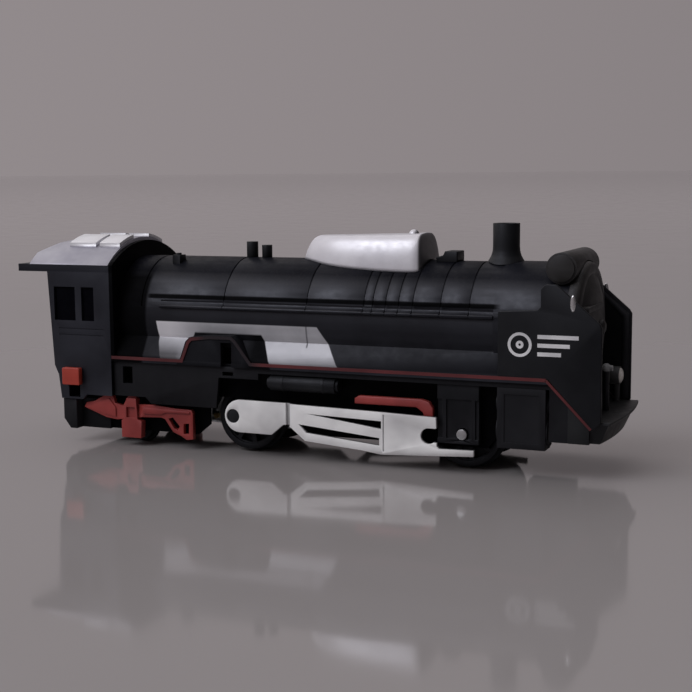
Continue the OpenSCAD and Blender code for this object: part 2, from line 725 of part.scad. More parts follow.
module ratchet_wheel() {
    color("#8d9096") difference() {
        translate([spring_at[0], 0, spring_at[1]]) along_y(3, 4.2) rotate(click_angle)
            polygon([for (k = [0 : ratchet_teeth - 1], r = [5.2, 4])
                r * [cos(k * 360 / ratchet_teeth), sin(k * 360 / ratchet_teeth)]]);
        bar_y(2, 5, arbor_r + 0.02, spring_at);
    }
}

module click() {
    color("#b9903c") {
        translate([spring_at[0], 0, spring_at[1]]) along_y(3, 4) rotate(click_angle)
            polygon([[4.29, 0.22], [4.6, 0.24], [8.6, 3.9], [7.2, 6.3], [6.3, 5.2]]);
        bar_y(3, 4, 1.3, click_at);
        bar_y(1.4, 4.4, 0.7, click_at);
    }
}

key_y = [9.3, 31];
key_wing_y = [23.5, 32.5];

// Butterfly key whose stem slips over the arbor's square
module winding_key() {
    color("#b7bac0") difference() {
        union() {
            bar_y(key_y[0], 24.6, 2.3, spring_at);
            bar_y(22.6, 24, 2.9, spring_at);
            translate([spring_at[0] - 0.8, 0, spring_at[1]]) along_x(0, 1.6) key_wings();
        }
        translate([spring_at[0], 0, spring_at[1]]) along_y(key_y[0] - 1, 16)
            square(key_square + 0.06, center = true);
    }
}

// Outline of the key's two wings, as (y, z) about the stem's axis
module key_wings() {
    difference() {
        union() {
            for (z = [-5.4, 5.4]) translate([28, z]) circle(r = 4.2);
            translate([24, -4]) square([6.4, 8]);
        }
        for (z = [-5.6, 5.6]) translate([28, z]) circle(r = 1.7);
    }
}

module second_arbor() {
    color("#8d9096") bar_y(-plate_y1 - 0.3, plate_y1 + 0.3, second_r, second_at);
}

module second_pinion() {
    color("#8d9096") gear(second_pinion_teeth, second_at, 1.2, 3.2, second_r + 0.02,
        second_angle + 180 + 180 / second_pinion_teeth);
}

module second_wheel() {
    color("#c9a64c") difference() {
        gear(second_teeth, second_at, 5, 6.2, second_r + 0.02, drive_angle);
        for (a = [0 : 60 : 300]) bar_y(4, 7, 1.7, second_at + 6.2 * [cos(a), sin(a)]);
    }
}

module governor_arbor() {
    color("#8d9096") bar_y(-plate_y1 - 0.3, plate_y1 + 0.3, governor_r, governor_at);
}

module governor_pinion() {
    color("#8d9096") gear(governor_pinion_teeth, governor_at, -5, -3, governor_r + 0.02,
        governor_angle + 180 + 180 / governor_pinion_teeth);
}

fly_r = 5.5;

// Two weighted arms that hold the speed down
module governor_fly() {
    color("#6f5a34") difference() {
        union() {
            bar_y(0, 4.4, 1.9, governor_at);
            translate([governor_at[0], 0, governor_at[1]]) along_y(1, 3.4) intersection() {
                circle(r = fly_r);
                union() {
                    square([2 * fly_r, 1.8], center = true);
                    for (s = [-1, 1]) translate([s * fly_r, 0]) square([4, 6], center = true);
                }
            }
        }
        bar_y(-1, 6, governor_r + 0.02, governor_at);
    }
}

// ---- wheels and rods ----

flange_w = 1.1;
flange_h = 0.9;
spokes = 9;

// A wheel for the left side, turned about its axle: flange inboard, dished face outboard
module wheel(at, r, y0, y1, bore_r, spoke_count) {
    tread = r - flange_h;
    rim = tread - 0.15 * r;
    hub = 1.9 * bore_r;
    web = y1 - 0.8;
    difference() {
        translate([at[0], 0, at[1]]) rotate([-90, 0, 0]) rotate_extrude()
            polygon([[bore_r, y0], [r, y0], [r, y0 + flange_w], [tread, y0 + flange_w], [tread, y1], [rim, y1],
                [rim, web], [hub, web], [hub, y1 + 0.3], [bore_r, y1 + 0.3]]);
        if (spoke_count > 0) translate([at[0], 0, at[1]]) along_y(y0 + 1.4, y1 + 1)
            for (k = [0 : spoke_count - 1])
                rotate(360 * (k + 0.5) / spoke_count) spoke_gap(hub, rim - 0.4, 360 / spoke_count);
    }
}

// The space between two spokes: narrow at the hub and wide at the rim
module spoke_gap(r0, r1, pitch) {
    half_spoke = 0.65;
    a0 = pitch / 2 - asin(half_spoke / (r0 + 0.4));
    a1 = pitch / 2 - asin(half_spoke / r1);
    polygon([(r0 + 0.4) * [cos(a0), -sin(a0)], r1 * [cos(a1), -sin(a1)], r1 / cos(a1 / 2) * [cos(a1 / 2), -sin(a1 / 2)],
        r1 * [1, 0], r1 / cos(a1 / 2) * [cos(a1 / 2), sin(a1 / 2)], r1 * [cos(a1), sin(a1)],
        (r0 + 0.4) * [cos(a0), sin(a0)]]);
}

axle_end_y = wheel_y0 + 1.5;
tyre_y = [11.6, 13.5];
tyre_r0 = driver_r - flange_h - 0.5;
tyre_r1 = driver_r - flange_h + 0.2;

// The crank pin stands on opposite sides of the axle on the two wheels
function pin_on(side) = drive_at + (side == RIGHT ? 1 : -1) * [crank_dx, crank_dz];

module drive_wheel(side) {
    color("#222327") on_side(side) difference() {
        union() {
            wheel(drive_at, driver_r, wheel_y0, wheel_y1, axle_r + 0.01, spokes);
            bar_y(wheel_y0 + 1, wheel_y1 + 0.4, 3.4, pin_on(side));
            bar_y(axle_end_y, wheel_y1 + 0.3, axle_r + 0.6, drive_at);
        }
        bar_y(wheel_y0 - 1, axle_end_y, axle_r + 0.01, drive_at);
        bar_y(axle_end_y, wheel_y1 + 2, crank_pin_r + 0.01, pin_on(side));
        difference() {
            bar_y(tyre_y[0], tyre_y[1], driver_r + 1, drive_at);
            bar_y(tyre_y[0] - 1, tyre_y[1] + 1, tyre_r0, drive_at);
        }
    }
}

module drive_tyres() {
    color("#131313") both_sides() difference() {
        bar_y(tyre_y[0] + 0.05, tyre_y[1] - 0.05, tyre_r1, drive_at);
        bar_y(tyre_y[0] - 1, tyre_y[1] + 1, tyre_r0 + 0.01, drive_at);
    }
}

module drive_axle() {
    color("#a9adb3") bar_y(-axle_end_y, axle_end_y, axle_r, drive_at);
}

module drive_pinion() {
    color("#8d9096") gear(drive_pinion_teeth, drive_at, 4.8, 6.4, axle_r + 0.01,
        drive_angle + 180 + 180 / drive_pinion_teeth);
}

module governor_wheel() {
    color("#c9a64c") gear(governor_wheel_teeth, drive_at, -4.6, -3.4, axle_r + 0.01, governor_angle);
}

module crank_pins() {
    color("#26272b") for (side = [LEFT, RIGHT]) on_side(side) {
        bar_y(wheel_y0 + 1.6, rod_y1 - 0.3, crank_pin_r, pin_on(side));
        bar_y(18.4, rod_y0 - 0.2, crank_pin_r + 0.8, pin_on(side));
    }
}

rod_end_r = 4.95;
rod_end_at = [-16.4, 12.3];

// The rod on the right side at rest, as (x, z), with a fork at its front end
module rod_outline() {
    difference() {
        union() {
            translate(rod_end_at) circle(r = rod_end_r);
            polygon([[-16.4, 7.35], [-5.8, 7.3], [-1.8, 10.6], [-0.1, 10.6], [5.4, 6.2], [23.6, 4.7],
                [29.5, 3.9], [57.5, 5.3], [57.5, 7], [47.2, 6.8], [46.5, 7.6], [46.5, 8.6], [46.3, 15.8],
                [29.8, 16.3], [1, 16.9], [-0.4, 17.15], [-16.4, 17.25]]);
        }
        translate(pin_at) circle(r = crank_pin_r + bearing_gap);
        translate([44, 10.3]) circle(r = 2.3);
        polygon([[44, 8.7], [48, 8.3], [48, 12.6], [44, 12.6]]);
        polygon([[5.6, 14.4], [29.6, 11.3], [29.6, 13.7]]);
        polygon([[3.2, 11.1], [5.8, 8.6], [29, 6.4], [29, 8.7]]);
    }
}

module connecting_rod(side) {
    shift = pin_on(side) - pin_at;
    color("#e9e7e2") on_side(side) difference() {
        translate([shift[0], 0, shift[1]]) along_y(rod_y0, rod_y1) rod_outline();
        translate([shift[0], 0, shift[1]]) along_y(rod_y1 - 0.7, rod_y1 + 1) {
            translate([-0.9, 10.4]) square([1.4, 7.4]);
            translate([30.1, 4.8]) square([0.35, 10.8]);
        }
    }
}

module front_axle() {
    color("#b4b8bd") bar_y(-19.5, 19.5, axle_r, front_at);
}

module front_wheels() {
    color("#222327") both_sides() wheel(front_at, driver_r, wheel_y0, wheel_y1, axle_r + 0.01, spokes);
}

module trailing_axle() {
    color("#a9adb3") bar_y(-14, 14, 1.2, trailing_at);
}

module trailing_wheels() {
    color("#222327") both_sides() wheel(trailing_at, trailing_r, wheel_y0, wheel_y1 - 0.7, 1.21, 0);
}

// ---- brake and screws ----

brake_travel = 3.5;
knob_z = [19, 24.4];

module brake_slide() {
    color("#e0532b") {
        block([-78.6, -half_w - 2.2, knob_z[0]], [-72.2, -half_w - 0.3, knob_z[1]]);
        block([-77.3, -half_w - 0.4, 19.4], [-75.1, -18.3, 23.6]);
        block([-78.6, -19.2, 18.6], [-75.1, -18.2, 24.2]);
        block([-77.3, -18.3, 19.6], [-75.1, -12.6, 21.6]);
    }
}

lever_z = [20.2, 21];

// Strip from the brake slide to the rim of the governor, as (x, y)
module brake_lever() {
    color("#8d9096") along_z(lever_z[0], lever_z[1])
        polygon([[-75.1, -14.2], [-38.2, -14.2], [-36.9, -12.9], [-36.9, 0.8], [-35.8, 1.8], [-33.2, 1.8],
            [-33.2, 2.7], [-36.2, 2.7], [-37.8, 1.2], [-37.8, -12.5], [-38.6, -13.3], [-75.1, -13.3]]);
}

module body_screws() {
    color("#9a9ca1") for (x = screw_x) both_sides() {
        bar_z(under_deck - 1.2, under_deck, 2, x, screw_y);
        bar_z(under_deck - 0.1, 34, screw_r - 0.02, x, screw_y);
    }
}

chassis();
boiler_shell();
cab();
cab_roof();
dome_casing();
chimney();
feedwater_heater();
smokebox_front();
deflector(RIGHT);  // deflector_right
deflector(LEFT);  // deflector_left
headlamps();
headlamp_lenses();
hose_stand();
safety_valves();
turret_box();
whistle();
air_tank(RIGHT);  // air_tank_right
air_tank(LEFT);  // air_tank_left
guide_block(RIGHT);  // guide_block_right
guide_block(LEFT);  // guide_block_left
cylinder_casting(RIGHT);  // cylinder_right
cylinder_casting(LEFT);  // cylinder_left
front_beam();
drawbar();
trailing_frame(RIGHT);  // trailing_frame_right
trailing_frame(LEFT);  // trailing_frame_left
valve_bracket(RIGHT);  // valve_bracket_right
valve_bracket(LEFT);  // valve_bracket_left
motor_plate(RIGHT);  // motor_plate_right
motor_plate(LEFT);  // motor_plate_left
motor_pillars();
mainspring();
great_wheel();
winding_arbor();
ratchet_wheel();
click();
winding_key();
second_arbor();
second_pinion();
second_wheel();
governor_arbor();
governor_pinion();
governor_fly();
drive_axle();
drive_pinion();
governor_wheel();
drive_wheel(RIGHT);  // drive_wheel_right
drive_wheel(LEFT);  // drive_wheel_left
drive_tyres();
crank_pins();
connecting_rod(RIGHT);  // connecting_rod_right
connecting_rod(LEFT);  // connecting_rod_left
front_axle();
front_wheels();
trailing_axle();
trailing_wheels();
brake_slide();
brake_lever();
body_screws();
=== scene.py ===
"""Looks for a clockwork toy locomotive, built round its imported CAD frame.

Everything is in metres, in the frame's own axes: +X forward, +Y to the left-hand side, +Z up.
"""
import json
import math

import bmesh
import bpy
from mathutils import Matrix, Vector


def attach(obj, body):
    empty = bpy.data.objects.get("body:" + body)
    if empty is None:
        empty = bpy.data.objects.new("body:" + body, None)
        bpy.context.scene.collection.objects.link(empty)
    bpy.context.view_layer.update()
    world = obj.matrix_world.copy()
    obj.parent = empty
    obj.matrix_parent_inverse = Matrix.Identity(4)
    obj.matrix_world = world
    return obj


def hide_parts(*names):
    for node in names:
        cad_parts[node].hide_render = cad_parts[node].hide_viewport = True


MM = 0.001
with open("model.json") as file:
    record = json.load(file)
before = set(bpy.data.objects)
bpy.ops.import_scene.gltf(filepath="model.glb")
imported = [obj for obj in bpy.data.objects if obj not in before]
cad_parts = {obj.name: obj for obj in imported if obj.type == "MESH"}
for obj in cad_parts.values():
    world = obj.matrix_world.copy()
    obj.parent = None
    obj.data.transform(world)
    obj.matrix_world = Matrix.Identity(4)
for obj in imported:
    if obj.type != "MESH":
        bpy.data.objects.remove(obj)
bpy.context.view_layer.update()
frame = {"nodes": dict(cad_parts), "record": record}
NODES = frame["nodes"]


# ---------------------------------------------------------------- camera and light

CAMERA_AT = (169.0, -374.4, 85.4)  # mm
CAMERA_YAW = 0.402  # radians
CAMERA_PITCH = 0.130
CAMERA_ROLL = -0.009
CAMERA_LENS = 69.45  # mm
SENSOR = 36.0  # mm

# The room's brightness from -X (0) to +X (1), and its tint.
ROOM_LEVELS = ((0.0, 0.300), (0.2, 0.283), (0.425, 0.248), (0.62, 0.14), (1.0, 0.05))
ROOM_TINT = (1.0, 0.895, 0.92)


def add_camera():
    cy, sy = math.cos(CAMERA_YAW), math.sin(CAMERA_YAW)
    cp, sp = math.cos(CAMERA_PITCH), math.sin(CAMERA_PITCH)
    look = Vector((-sy * cp, cy * cp, -sp))
    level = Vector((cy, sy, 0.0))
    upright = level.cross(look)
    right = math.cos(CAMERA_ROLL) * level + math.sin(CAMERA_ROLL) * upright
    up = math.cos(CAMERA_ROLL) * upright - math.sin(CAMERA_ROLL) * level
    data = bpy.data.cameras.new("camera")
    data.lens = CAMERA_LENS
    data.sensor_width = SENSOR
    data.clip_start = 0.01
    obj = bpy.data.objects.new("camera", data)
    bpy.context.scene.collection.objects.link(obj)
    turn = Matrix((right, up, -look)).transposed().to_4x4()
    obj.matrix_world = Matrix.Translation(Vector(CAMERA_AT) * MM) @ turn
    bpy.context.scene.camera = obj


def broad_light(name, azimuth, elevation, spread, strength, colour):
    """Even light from one part of the sky; angles in degrees, azimuth from +X towards +Y."""
    data = bpy.data.lights.new(name, "SUN")
    data.angle = math.radians(spread)
    data.energy = strength
    data.color = colour
    obj = bpy.data.objects.new(name, data)
    bpy.context.scene.collection.objects.link(obj)
    turn, rise = math.radians(azimuth), math.radians(elevation)
    flat = math.cos(rise)
    towards = Vector((math.cos(turn) * flat, math.sin(turn) * flat, math.sin(rise)))
    obj.location = towards
    obj.rotation_euler = (-towards).to_track_quat("-Z", "Y").to_euler()


def add_lights():
    """A room that is brighter on the cab's side, with a wide pale ceiling and one large window."""
    world = bpy.data.worlds.new("room")
    world.use_nodes = True
    tree = world.node_tree
    coords = tree.nodes.new("ShaderNodeTexCoord")
    split = tree.nodes.new("ShaderNodeSeparateXYZ")
    shade = tree.nodes.new("ShaderNodeValToRGB")
    shift = tree.nodes.new("ShaderNodeMapRange")
    shift.inputs["From Min"].default_value = -1.0
    tree.links.new(coords.outputs["Generated"], split.inputs[0])
    tree.links.new(split.outputs[0], shift.inputs["Value"])
    tree.links.new(shift.outputs[0], shade.inputs["Fac"])
    while len(shade.color_ramp.elements) < len(ROOM_LEVELS):
        shade.color_ramp.elements.new(0.5)
    for element, (position, level) in zip(shade.color_ramp.elements, ROOM_LEVELS):
        element.position = position
        element.color = (*(level * tint for tint in ROOM_TINT), 1.0)
    tree.links.new(shade.outputs["Color"], tree.nodes["Background"].inputs["Color"])
    bpy.context.scene.world = world
    broad_light("window", -126.0, 41.0, 34.0, 0.95, (0.93, 0.95, 1.0))
    broad_light("ceiling", 175.0, 60.0, 98.0, 1.15, (1.0, 0.98, 0.98))


# ---------------------------------------------------------------- material helpers

class Shader:
    """A material with one Principled surface, its inputs fed from object coordinates in millimetres."""

    def __init__(self, name, colour, roughness, metallic=0.0, **sockets):
        self.material = bpy.data.materials.new(name)
        self.material.use_nodes = True
        self.tree = self.material.node_tree
        self.surface = self.tree.nodes["Principled BSDF"]
        self.surface.inputs["Base Color"].default_value = (*colour, 1.0)
        self.surface.inputs["Roughness"].default_value = roughness
        self.surface.inputs["Metallic"].default_value = metallic
        for socket, value in sockets.items():
            self.surface.inputs[socket.replace("_", " ")].default_value = value
        coords = self.node("ShaderNodeTexCoord")
        scale = self.node("ShaderNodeVectorMath", operation="SCALE")
        scale.inputs["Scale"].default_value = 1.0 / MM
        self.link(coords.outputs["Object"], scale.inputs[0])
        self.place = scale.outputs[0]
        split = self.node("ShaderNodeSeparateXYZ")
        self.link(self.place, split.inputs[0])
        self.x, self.y, self.z = split.outputs

    def node(self, kind, **settings):
        made = self.tree.nodes.new(kind)
        for key, value in settings.items():
            setattr(made, key, value)
        return made

    def link(self, source, target):
        self.tree.links.new(source, target)

    def put(self, target, value):
        """Connect a socket, or set a plain value."""
        if isinstance(value, bpy.types.NodeSocket):
            self.link(value, target)
        else:
            target.default_value = value

    def maths(self, operation, a, b=0.0, clamp=False):
        made = self.node("ShaderNodeMath", operation=operation, use_clamp=clamp)
        self.put(made.inputs[0], a)
        self.put(made.inputs[1], b)
        return made.outputs[0]

    def noise(self, scale, detail=3.0, rough=0.5, stretch=None):
        """Noise between 0 and 1; scale is in features per millimetre."""
        made = self.node("ShaderNodeTexNoise")
        made.inputs["Scale"].default_value = scale
        made.inputs["Detail"].default_value = detail
        made.inputs["Roughness"].default_value = rough
        source = self.place
        if stretch:
            mapping = self.node("ShaderNodeMapping")
            mapping.inputs["Scale"].default_value = stretch
            self.link(self.place, mapping.inputs["Vector"])
            source = mapping.outputs[0]
        self.link(source, made.inputs["Vector"])
        return made.outputs["Fac"]

    def ramp(self, value, low, high, out_low=0.0, out_high=1.0):
        """Map low..high to out_low..out_high, clamped."""
        made = self.node("ShaderNodeMapRange", clamp=True)
        self.put(made.inputs["Value"], value)
        ends = {"From Min": low, "From Max": high, "To Min": out_low, "To Max": out_high}
        for socket, number in ends.items():
            made.inputs[socket].default_value = number
        return made.outputs[0]

    def mix(self, factor, a, b):
        """Mix two colours, each a socket or a triple."""
        made = self.node("ShaderNodeMix", data_type="RGBA")
        self.put(made.inputs["Factor"], factor)
        for socket, colour in ((made.inputs[6], a), (made.inputs[7], b)):
            self.put(socket, (*colour, 1.0) if isinstance(colour, tuple) else colour)
        return made.outputs[2]

    def inside(self, value, low, high, soft=0.15):
        """1 between low and high and 0 outside, with soft edges."""
        rise = self.ramp(value, low - soft, low + soft)
        fall = self.ramp(value, high - soft, high + soft, 1.0, 0.0)
        return self.maths("MULTIPLY", rise, fall)

    def below_line(self, a, b, soft=0.15):
        """1 on the right of the line from a to b, seen along +Y with X to the right, and 0 on its left."""
        dx, dz = b[0] - a[0], b[1] - a[1]
        size = math.hypot(dx, dz)
        across = self.maths("MULTIPLY", self.x, dz / size)
        along = self.maths("MULTIPLY", self.z, -dx / size)
        total = self.maths("ADD", across, along)
        offset = (a[0] * dz - a[1] * dx) / size
        return self.ramp(total, offset - soft, offset + soft)

    def facing(self):
        """The surface normal in object axes, as three sockets."""
        coords = self.node("ShaderNodeTexCoord")
        split = self.node("ShaderNodeSeparateXYZ")
        self.link(coords.outputs["Normal"], split.inputs[0])
        return split.outputs

    def product(self, *values):
        """Several values multiplied together."""
        total = values[0]
        for value in values[1:]:
            total = self.maths("MULTIPLY", total, value)
        return total

    def inverse(self, value):
        return self.maths("SUBTRACT", 1.0, value)

    def current(self, socket):
        """What feeds one of the surface's inputs now."""
        return self.surface.inputs[socket].links[0].from_socket

    def specular(self, value):
        self.put(self.surface.inputs["Specular IOR Level"], value)

    def colour(self, value):
        self.put(self.surface.inputs["Base Color"], value)

    def roughness(self, value):
        self.put(self.surface.inputs["Roughness"], value)

    def bump(self, height, distance):
        """Bump of a height field; distance is in millimetres."""
        made = self.node("ShaderNodeBump")
        made.inputs["Strength"].default_value = 1.0
        made.inputs["Distance"].default_value = distance * MM
        self.link(height, made.inputs["Height"])
        self.link(made.outputs[0], self.surface.inputs["Normal"])


DUST = (0.36, 0.34, 0.32)
COOL = (0.86, 0.88, 1.0, 1.0)  # tint of the sheen on moulded plastic


def moulded(name, colour, roughness, dust=0.25, gloss=0.5):
    """Injection-moulded plastic: slight flow marks, fine texture, and dust on what faces up."""
    s = Shader(name, colour, roughness, Specular_IOR_Level=gloss, Specular_Tint=COOL)
    cloud = s.noise(0.06, 3.0)
    light = tuple(min(1.0, c * 1.35 + 0.004) for c in colour)
    dark = tuple(c * 0.78 for c in colour)
    base = s.mix(s.ramp(cloud, 0.35, 0.65), dark, light)
    speck = s.ramp(s.noise(1.3, 6.0, 0.7), 0.5, 0.78)
    dusty = s.product(s.ramp(s.facing()[2], 0.35, 1.0), speck, dust)
    s.colour(s.mix(dusty, base, DUST))
    rough = s.ramp(s.noise(0.35, 5.0, 0.6), 0.3, 0.7, roughness - 0.06, roughness + 0.09)
    s.roughness(s.maths("ADD", rough, s.maths("MULTIPLY", dusty, 0.5), clamp=True))
    s.bump(s.noise(2.6, 4.0, 0.6), 0.012)
    return s


def simple_metal(name, colour, roughness):
    """Drawn or stamped metal with fine lines and dull patches."""
    s = Shader(name, colour, roughness, metallic=1.0)
    cloud = s.noise(0.25, 4.0)
    s.colour(s.mix(s.ramp(cloud, 0.35, 0.7), tuple(c * 0.72 for c in colour), colour))
    s.roughness(s.ramp(s.noise(0.8, 4.0, 0.6), 0.3, 0.7, roughness - 0.08, roughness + 0.12))
    s.bump(s.noise(2.2, 3.0, 0.5, (0.2, 0.2, 3.0)), 0.02)
    return s


# ---------------------------------------------------------------- materials

def use(shader, *names):
    """Give CAD nodes one material."""
    for name in names:
        mesh = NODES[name].data
        mesh.materials.clear()
        mesh.materials.append(shader.material)


def soften(name, width):
    """Small rounded edges, which moulded and machined parts have and which catch the light."""
    obj = NODES[name]
    weld = obj.modifiers.new("weld", "WELD")
    weld.merge_threshold = 0.002 * MM
    bevel = obj.modifiers.new("edges", "BEVEL")
    bevel.width = width * MM
    bevel.segments = 2
    bevel.limit_method = "ANGLE"
    bevel.angle_limit = math.radians(32.0)
    bevel.harden_normals = True
    obj.data.shade_smooth()


# Specular level on the boiler's sides and along its top.
BOILER_SHEEN = 0.38
TOP_SHEEN = 0.04
# Outlines on the side as (x, z) in mm, each pair from the foot up.
PANEL_Z = (28.5, 39.9)
PANEL_REAR = ((-45.4, 28.4), (-45.9, 33.4), (-48.6, 40.4))
PANEL_FRONT = ((15.4, 28.8), (8.0, 40.0))
CASING_REAR = ((-37.5, 28.0), (-33.2, 36.8))
CASING_FRONT = ((-6.3, 28.0), (-10.4, 36.8))
SKIRT_Y = (20.4, 20.6)  # where the boiler's face gives way to the skirt's proud parts


def shade_and_dull_mask(s, side):
    """Where the black shell is darker and duller: painted shade by the cab, and darker along the seam and low
    on the boiler.
    """
    # Painted shade: the boiler next to the cab is made darker and less glossy.
    cab_shade = s.ramp(s.x, -50.7, -49.6, 1.0, 0.0)
    below_top = s.ramp(s.z, 53.0, 57.0, 1.0, 0.0)
    seam = s.product(s.inside(s.z, 46.9, 48.2, 0.2), s.inside(s.x, -50.0, 63.0, 1.0))
    low = s.product(s.ramp(s.z, 34.0, 47.0, 0.4, 0.0), s.ramp(side, *SKIRT_Y, 1.0, 0.0))
    return s.maths("MAXIMUM", s.product(cab_shade, below_top), s.maths("MAXIMUM", seam, low))


def casing_mask(s):
    """The raised casing over the driving wheels."""
    sides = s.product(s.below_line(*CASING_REAR), s.inverse(s.below_line(*CASING_FRONT)))
    return s.product(sides, s.ramp(s.z, 36.6, 37.1, 1.0, 0.0))


def panel_mask(s, side, casing):
    """The silver panel, cut off by the casing, with a worn edge and a boiler joint across it."""
    rear_foot, rear_knee, rear_top = PANEL_REAR
    panel = s.product(s.below_line(rear_foot, rear_knee), s.below_line(rear_knee, rear_top))
    panel = s.product(panel, s.inverse(s.below_line(*PANEL_FRONT)), s.inside(s.z, *PANEL_Z))
    panel = s.product(panel, s.inside(side, 14.0, 20.4, 0.05))
    panel = s.maths("MULTIPLY", panel, s.inverse(casing), clamp=True)
    joint = s.product(s.inside(s.x, 4.35, 4.85, 0.1), s.ramp(s.z, 33.4, 33.8, 0.0, 0.6))
    panel = s.product(panel, s.inverse(joint))
    worn = s.ramp(s.noise(0.9, 6.0, 0.7), 0.62, 0.72)
    edge = s.product(s.inside(panel, 0.05, 0.95, 0.05), worn)
    return s.maths("MULTIPLY", panel, s.inverse(edge), clamp=True)


def panel_colour(s):
    """Silver paint, with painted shade at its rear and towards its foot, and a painted highlight at the top
    of its rear end.
    """
    cloud = s.ramp(s.noise(0.12, 3.0), 0.35, 0.65)
    silver = s.mix(cloud, (0.40, 0.40, 0.43), (0.48, 0.48, 0.51))
    # Painted shade: near black at the panel's rear low down and along its foot.
    panel_shade = s.product(s.ramp(s.x, -39.0, -30.0, 0.9, 0.0), s.ramp(s.z, 30.2, 34.6, 1.0, 0.0))
    panel_shade = s.maths("MAXIMUM", panel_shade, s.ramp(s.z, 28.5, 32.0, 0.45, 0.0))
    # Painted highlight: bright silver high on the panel's rear end.
    panel_highlight = s.product(s.ramp(s.x, -42.0, -31.0, 1.0, 0.0), s.ramp(s.z, 34.7, 35.0))
    silver = s.mix(panel_highlight, silver, (0.8, 0.79, 0.83))
    return s.mix(panel_shade, silver, (0.035, 0.032, 0.034))


def boiler_material():
    """Black shell with a silver panel painted along each side."""
    s = moulded("boiler plastic", (0.005, 0.0055, 0.009), 0.4, 0.05, gloss=0.3)
    base = s.current("Base Color")
    rough = s.current("Roughness")
    side = s.maths("ABSOLUTE", s.y)
    casing = casing_mask(s)
    # Painted shade over the casing, deepest at its front end.
    casing_shade = s.product(casing, s.ramp(s.x, -15.5, -12.5, 0.6, 0.95))
    dull = s.maths("MAXIMUM", shade_and_dull_mask(s, side), casing_shade)
    panel = panel_mask(s, side, casing)
    # Painted shade in the recess on the casing's side.
    recess = s.product(s.inside(side, 18.9, 20.3, 0.1), s.inside(s.x, -22.7, -18.9, 0.05))
    recess = s.product(recess, s.inside(s.z, 26.0, 34.5, 0.1))
    # Painted shade: the recess, the boiler by the cab and the casing are darkened, as are the seam and the
    # low boiler.
    base = s.mix(s.maths("MAXIMUM", recess, dull), base, (0.003, 0.003, 0.0035))
    s.colour(s.mix(panel, base, panel_colour(s)))
    bare = s.inverse(panel)
    matt = s.product(dull, bare)
    sheen = s.ramp(s.z, 52.0, 55.0, BOILER_SHEEN, TOP_SHEEN)
    s.specular(s.product(s.ramp(matt, 0.0, 1.0, 1.0, 0.1), sheen))
    s.put(s.surface.inputs["Metallic"], s.product(panel, 0.25))
    plain = s.maths("ADD", rough, s.product(dull, 0.3))
    s.roughness(s.maths("ADD", s.product(plain, bare), s.product(panel, 0.46)))
    return s


def cab_material():
    """Satin blue-grey plastic, with painted shade on its front wall, which is near black and dull, and a
    duller rim under the roof.
    """
    s = moulded("cab plastic", (0.0085, 0.0095, 0.015), 0.46, 0.08, gloss=0.4)
    # Painted shade: the front wall is near black and barely glossy.
    front = s.ramp(s.x, -61.6, -61.4)
    rim = s.inside(s.z, 54.8, 58.0, 0.1)
    base = s.mix(rim, s.current("Base Color"), (0.016, 0.017, 0.023))
    s.colour(s.mix(front, base, (0.002, 0.002, 0.0025)))
    s.specular(s.product(s.ramp(front, 0.0, 1.0, 0.4, 0.04), s.ramp(rim, 0.0, 1.0, 1.0, 0.4)))
    return s


def chassis_material():
    """Dull black plastic, with painted shade in the recesses between the wheels."""
    s = moulded("chassis plastic", (0.004, 0.004, 0.005), 0.55, 0.06, gloss=0.3)
    inboard = s.ramp(s.maths("ABSOLUTE", s.y), 16.2, 17.6, 1.0, 0.0)
    # Painted shade: darker and less glossy inboard, behind the wheels.
    deep = s.product(inboard, s.ramp(s.x, 78.0, 80.0, 1.0, 0.0))
    s.colour(s.mix(deep, s.current("Base Color"), (0.0012, 0.0012, 0.0015)))
    s.specular(s.ramp(deep, 0.0, 1.0, 0.3, 0.05))
    return s


ROOF_R = 31.5625  # mm, the cab roof's outer radius
ROOF_CZ = 33.4375  # mm, the height of its centre


def silver_material():
    """Silver paint with a lilac cast: painted shade on the dome's front end, a darker silver on the roof, and
    a painted highlight on its hatches.
    """
    s = Shader("silver paint", (0.6, 0.59, 0.65), 0.34, 0.4)
    cloud = s.ramp(s.noise(0.1, 3.0), 0.35, 0.65)
    flakes = s.ramp(s.noise(14.0, 2.0), 0.35, 0.7)
    base = s.mix(cloud, (0.60, 0.59, 0.64), (0.72, 0.71, 0.76))
    base = s.mix(s.product(flakes, 0.25), base, (0.9, 0.9, 0.93))
    # Painted shade on the dome's blunt front end, on faces turned towards +X.
    front = s.product(s.ramp(s.facing()[0], 0.3, 0.75, 0.0, 0.85), s.ramp(s.x, 31.0, 34.0))
    base = s.mix(front, base, (0.03, 0.029, 0.031))
    roof = s.mix(cloud, (0.33, 0.325, 0.385), (0.43, 0.425, 0.48))
    rise = s.maths("SUBTRACT", s.z, ROOF_CZ)
    reach = s.maths("ADD", s.product(s.y, s.y), s.maths("POWER", rise, 2.0))
    proud = s.maths("SUBTRACT", s.maths("POWER", reach, 0.5), ROOF_R)
    # Painted highlight: the hatches standing proud of the roof are painted near white.
    roof = s.mix(s.ramp(proud, 0.15, 0.45), roof, (0.78, 0.78, 0.82))
    s.colour(s.mix(s.ramp(s.x, -61.0, -60.0), roof, base))
    s.roughness(s.ramp(s.noise(0.5, 5.0, 0.6), 0.3, 0.7, 0.32, 0.46))
    s.bump(s.noise(3.0, 4.0, 0.6), 0.01)
    return s


def rod_material():
    """Off-white moulded rod, with painted shade on the sides of its slots and on its inner face."""
    s = moulded("rod plastic", (0.86, 0.85, 0.86), 0.45, 0.05)
    # Painted shade: dark grey inboard of the rod's outer face.
    inner = s.ramp(s.maths("ABSOLUTE", s.y), 20.35, 20.75, 1.0, 0.0)
    s.colour(s.mix(inner, s.current("Base Color"), (0.10, 0.10, 0.105)))
    return s


